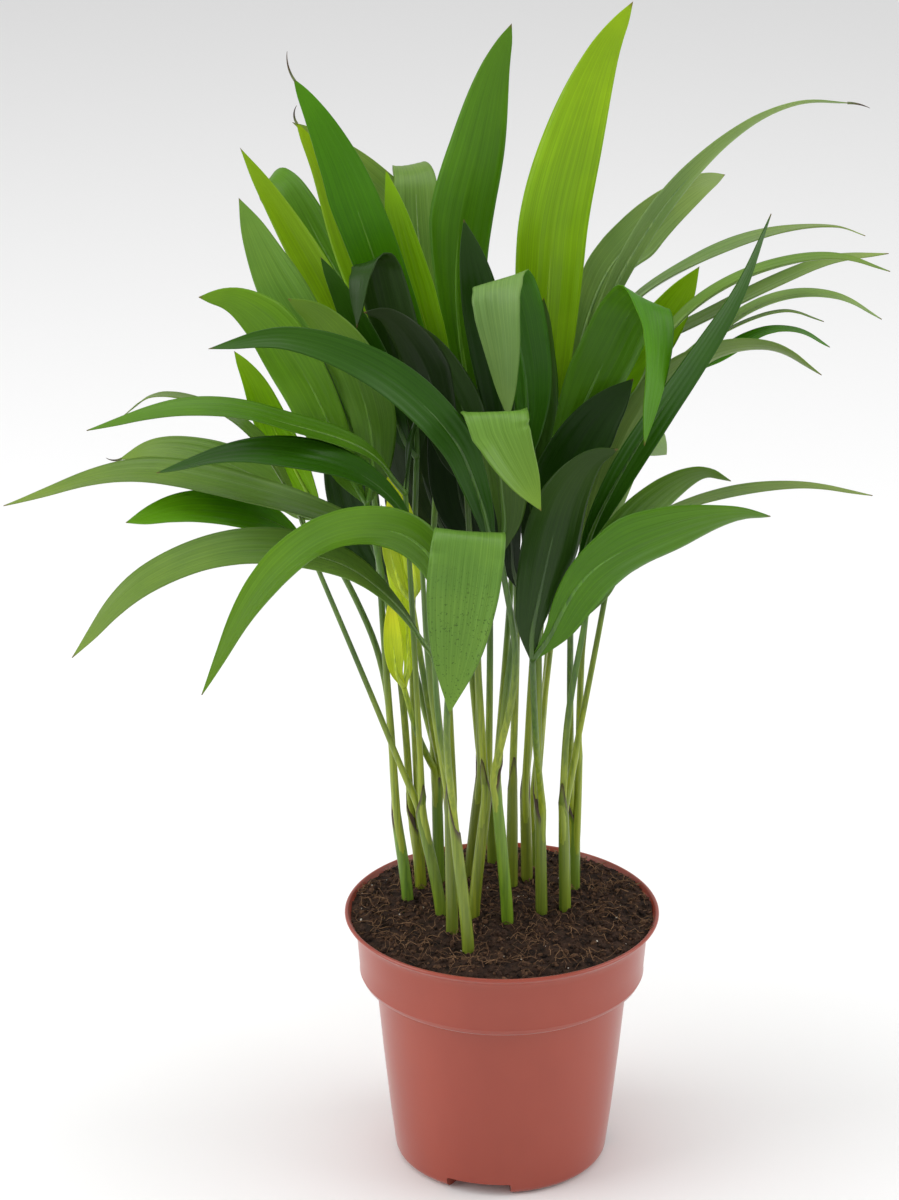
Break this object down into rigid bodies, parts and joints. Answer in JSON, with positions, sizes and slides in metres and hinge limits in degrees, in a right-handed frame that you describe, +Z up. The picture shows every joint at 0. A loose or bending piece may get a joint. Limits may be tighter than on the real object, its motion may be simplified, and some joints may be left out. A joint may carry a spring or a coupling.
{
  "type": "potted palm",
  "caption": "Young palm with clustered slim shoots and two-lobed, arching ribbed leaves, growing in soil in a round tapered plastic nursery pot with a flared rim.",
  "frame": {"origin": "centre of the pot's flat underside, on the surface that it stands on", "axes": "+Z up along the pot's axis; -Y is the side that is seen first; +X to the right of it"},
  "size_m": [0.321, 0.26, 0.453],
  "materials": {
    "pot": "satin",
    "soil": "matte",
    "stem": "satin",
    "leaf": "satin"
  },
  "bodies": {
    "root": {"pot": "pot", "soil": "soil", "stem_01": "stem", "stem_02": "stem", "stem_03": "stem", "stem_04": "stem", "stem_05": "stem", "stem_06": "stem", "stem_07": "stem", "stem_08": "stem", "stem_09": "stem", "stem_10": "stem", "stem_11": "stem", "stem_12": "stem", "stem_13": "stem", "stem_14": "stem", "stem_15": "stem", "stem_16": "stem", "stem_17": "stem", "leaf_01": "leaf", "leaf_02": "leaf", "leaf_03": "leaf", "leaf_04": "leaf", "leaf_05": "leaf", "leaf_06": "leaf", "leaf_07": "leaf", "leaf_08": "leaf", "leaf_09": "leaf", "leaf_10": "leaf", "leaf_11": "leaf", "leaf_12": "leaf", "leaf_13": "leaf", "leaf_14": "leaf", "leaf_15": "leaf", "leaf_16": "leaf", "leaf_17": "leaf", "leaf_18": "leaf", "leaf_19": "leaf", "leaf_20": "leaf", "leaf_21": "leaf", "leaf_22": "leaf", "leaf_23": "leaf", "leaf_24": "leaf", "leaf_25": "leaf", "leaf_26": "leaf", "leaf_27": "leaf", "leaf_28": "leaf", "leaf_29": "leaf", "leaf_30": "leaf", "leaf_31": "leaf", "leaf_32": "leaf", "leaf_33": "leaf", "leaf_34": "leaf", "leaf_35": "leaf"}
  },
  "joints": []
}
